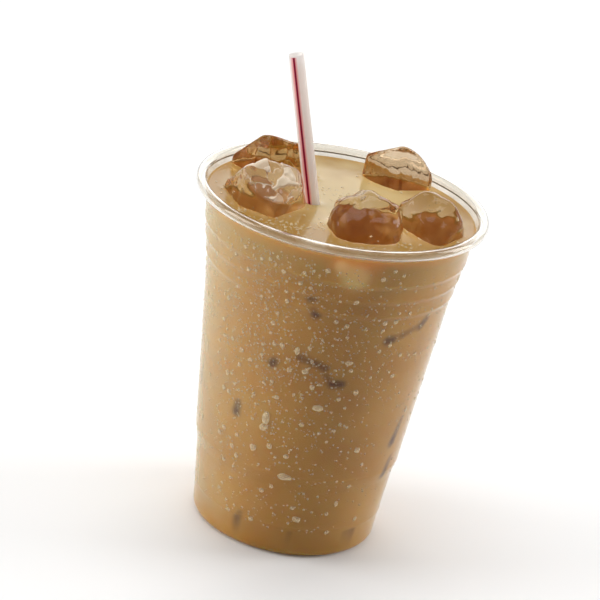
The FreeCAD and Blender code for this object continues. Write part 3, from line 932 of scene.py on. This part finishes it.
# %% Fine dew and beads
material, tree, add = new_material("dew water")
# Painted light: clear drops look lighter than the cup because they gather and focus light; here the cream colour of
# each drop and its lighter, more opaque edge are painted into its finish, and the rest is see-through.
painted_drop_light = add("ShaderNodeBsdfPrincipled", {"Base Color": (0.95, 0.80, 0.52, 1.0), "Roughness": 0.2, "IOR": 1.25})
see_through = add("ShaderNodeBsdfTransparent")
edge = add("ShaderNodeLayerWeight", {"Blend": 0.45})
share = add("ShaderNodeMath", {0: edge.outputs["Facing"], 1: 0.40, 2: 0.26}, operation="MULTIPLY_ADD")
mix = add("ShaderNodeMixShader", {0: share.outputs[0]})
tree.links.new(see_through.outputs[0], mix.inputs[1])
tree.links.new(painted_drop_light.outputs[0], mix.inputs[2])
add("ShaderNodeOutputMaterial", {"Surface": mix.outputs[0]})
water = material
fine_tree = scatter_tree("fine dew", dome("fine_bead", 6, 2, 0.42), water)
bead_tree = scatter_tree("beads of dew", dome("large_bead", 10, 3, 0.42), water)
fine_dew = scatter("fine_dew", wet_wall("wet_wall", dew), fine_tree,
                   spacing=0.66 * MM, most_per_area=900000.0, smallest=0.20 * MM, largest=0.45 * MM, seed=4)
beads = scatter("dew_beads", wet_wall("wet_wall", dew), bead_tree,
                spacing=2.4 * MM, most_per_area=70000.0, smallest=0.45 * MM, largest=0.95 * MM, seed=11)

# %% [markdown]
# Some beads have grown or run together. Each of these larger drops is shaped one by one: a low dome
# with an uneven outline, longer downwards, laid on the wall so that its edge follows the curve.

# %% Large drops
# bearing, height, width and length in mm
LARGE_DROPS = [
    (-17.5, 51.0, 2.6, 4.6), (-18.4, 47.4, 2.4, 2.6), (-13.6, 41.1, 1.9, 2.1), (-22.4, 38.7, 2.3, 2.6),
    (-2.8, 31.0, 4.6, 2.6), (8.5, 15.3, 2.9, 2.2), (7.4, 59.1, 3.6, 2.4), (33.9, 43.4, 2.0, 2.2),
    (-32.1, 33.1, 1.6, 1.8), (17.5, 77.0, 2.6, 1.7), (24.5, 66.0, 1.8, 2.0), (-7.5, 78.5, 1.6, 3.0),
    (-2.0, 71.5, 2.2, 1.6), (-26.0, 58.0, 1.4, 1.5), (2.5, 66.5, 1.6, 2.0), (30.5, 22.0, 1.4, 2.2),
    (-9.0, 26.0, 1.4, 1.6), (12.5, 90.5, 1.5, 1.4), (43.0, 71.5, 1.6, 1.5), (-44.0, 61.0, 1.5, 1.9),
]
drop_points, drop_faces = [], []
for number, (bearing, height, width, length) in enumerate(LARGE_DROPS):
    start, sectors, levels = len(drop_points), 28, 7
    for k in range(levels):
        rise = math.pi / 2 * k / levels
        for j in range(sectors):
            turn = 2 * math.pi * j / sectors
            edge = 1 + 0.22 * noise.noise(Vector((math.cos(turn) * 1.3, math.sin(turn) * 1.3, number * 2.3)))
            reach = math.cos(rise) * edge
            x, z = reach * width / 2 * math.cos(turn), height + reach * length / 2 * math.sin(turn)
            r = float(wall_radius(z)) - 0.03 + 0.30 * min(width, length) * math.sin(rise)
            b = math.radians(bearing) + x / r
            drop_points.append((r * math.sin(b), -r * math.cos(b), z))
    b, r = math.radians(bearing), float(wall_radius(height)) + 0.30 * min(width, length)
    drop_points.append((r * math.sin(b), -r * math.cos(b), height))
    for k in range(levels):
        for j in range(sectors):
            a, n = start + k * sectors + j, start + k * sectors + (j + 1) % sectors
            upper = (a + sectors, n + sectors) if k < levels - 1 else (len(drop_points) - 1,)
            drop_faces.append((a, n, *reversed(upper)))
    drop_faces.append(tuple(range(start + sectors - 1, start - 1, -1)))
large_drops = new_piece("large_drops", np.array(drop_points), drop_faces)
give(large_drops, water)
print("large drops:", len(LARGE_DROPS))

# %% [markdown]
# ## Bubbles of foam
# Small bubbles collect along the edges of the ice and in a few rafts at the front. The same tree
# scatters them, on a thin copy of the coffee's surface whose wetness says where they gather.

# %% Foam bubbles
RAFTS = [(-20, -27, 6.0), (-12, -27, 5.5), (-5, -20, 4.0), (11, -36, 4.5), (24, -27, 3.5), (-34, -24, 4.0),
         (-2, 12, 5.0), (28, 12, 4.0)]
raft_line = [(edge_radius * (1 - k / rings), LEVEL) for k in range(1, rings + 1)]
raft_points, raft_faces = turn_outline(raft_line, 160)
gap = np.full(len(raft_points), 99.0)
for block in blocks.values():
    gap = np.minimum(gap, -block.depth(raft_points))
raft_points[:, 2] += CLIMB * np.exp(-np.maximum(gap, 0) / CLIMB_WIDTH) - 0.05
gather = 0.35 * np.exp(-np.maximum(gap, 0) / 1.2)
for x, y, size in RAFTS:
    gather += 0.8 * np.exp(-((raft_points[:, 0] - x) ** 2 + (raft_points[:, 1] - y) ** 2) / size ** 2)
gather[(gap < 0.25) | (straw_distance(raft_points) < 0.3)] = 0
raft = new_piece("raft", raft_points, raft_faces)
set_mark(raft, "wetness", np.clip(gather, 0.004, 1))
foam_tree = scatter_tree("foam", dome("bubble", 10, 3, 0.8), water)
foam = scatter("foam_bubbles", raft, foam_tree, spacing=0.55 * MM, most_per_area=900000.0,
               smallest=0.16 * MM, largest=0.60 * MM, seed=21)

# %% [markdown]
# ## The set
# A plain pale floor and soft studio light: a bright white room, a large soft lamp high on the
# left, one on the right and one behind. The camera looks down at the cup from the front through a
# long lens, and is rolled a little, so the cup leans in the frame.

# %% Floor, light and camera
floor = new_piece("floor", [(-4000, -4000, 0), (4000, -4000, 0), (4000, 4000, 0), (-4000, 4000, 0)],
                  [(0, 1, 2, 3)], smooth=False)
floor.location.z = -0.0001
material, tree, add = new_material("pale floor")
shader = add("ShaderNodeBsdfPrincipled", {"Base Color": (0.93, 0.93, 0.93, 1.0), "Roughness": 0.8})
add("ShaderNodeOutputMaterial", {"Surface": shader.outputs[0]})
give(floor, material)

world = bpy.data.worlds.new("white room")
bpy.context.scene.world = world
world.use_nodes = True
world.node_tree.nodes["Background"].inputs["Color"].default_value = (1.0, 1.0, 1.0, 1.0)
world.node_tree.nodes["Background"].inputs["Strength"].default_value = 0.35
bpy.context.scene.view_settings.view_transform = "Standard"


def soft_lamp(name, place, aim, size, watts):
    lamp = bpy.data.lights.new(name, "AREA")
    lamp.shape = "RECTANGLE"
    lamp.size, lamp.size_y = size
    lamp.energy = watts
    holder = bpy.data.objects.new(name, lamp)
    holder.location = place
    holder.rotation_euler = (Vector(aim) - Vector(place)).to_track_quat("-Z", "Y").to_euler()
    bpy.context.scene.collection.objects.link(holder)
    return holder


soft_lamp("left lamp", (-0.80, -0.15, 0.42), (0, 0, 0.08), (0.45, 0.6), 3.7)
soft_lamp("right lamp", (0.75, 0.25, 0.40), (0, 0, 0.08), (0.35, 0.6), 3.2)
soft_lamp("back lamp", (0.0, 1.15, 0.60), (0, 0, 0.08), (1.8, 0.9), 8.0)
soft_lamp("top lamp", (-0.15, 0.10, 1.10), (0, 0, 0.1), (0.7, 0.7), 4.0)

camera_data = bpy.data.cameras.new("camera")
camera_data.sensor_width = 36.0
camera_data.lens = 166.89
camera = bpy.data.objects.new("camera", camera_data)
camera.location = (0.0, -0.86042, 0.43759)
aim = Vector((-0.00773, 0.0, 0.0797))
ROLL = 10.73
look = (aim - camera.location).to_track_quat("-Z", "Y").to_matrix()
camera.rotation_euler = (look @ Matrix.Rotation(math.radians(ROLL), 3, "Z")).to_euler()
bpy.context.scene.collection.objects.link(camera)
bpy.context.scene.camera = camera

# %% [markdown]
# ## Tie the pieces to the imported object
# Every new piece stands for the imported solid of the same thing and rides
# on the one rigid body.

# %% Ride and replace
for piece, slot in ((cup, "cup_clear"), (coffee, "coffee"), (straw, "straw"), (sunken, "ice"),
                    (fine_dew, "cup_clear"), (beads, "cup_clear"), (large_drops, "cup_clear"), (foam, "coffee")):
    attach(piece, "root")
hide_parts("cup")
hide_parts("coffee")
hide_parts("straw")
for node, piece in floating.items():
    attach(piece, "root")
    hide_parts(node)
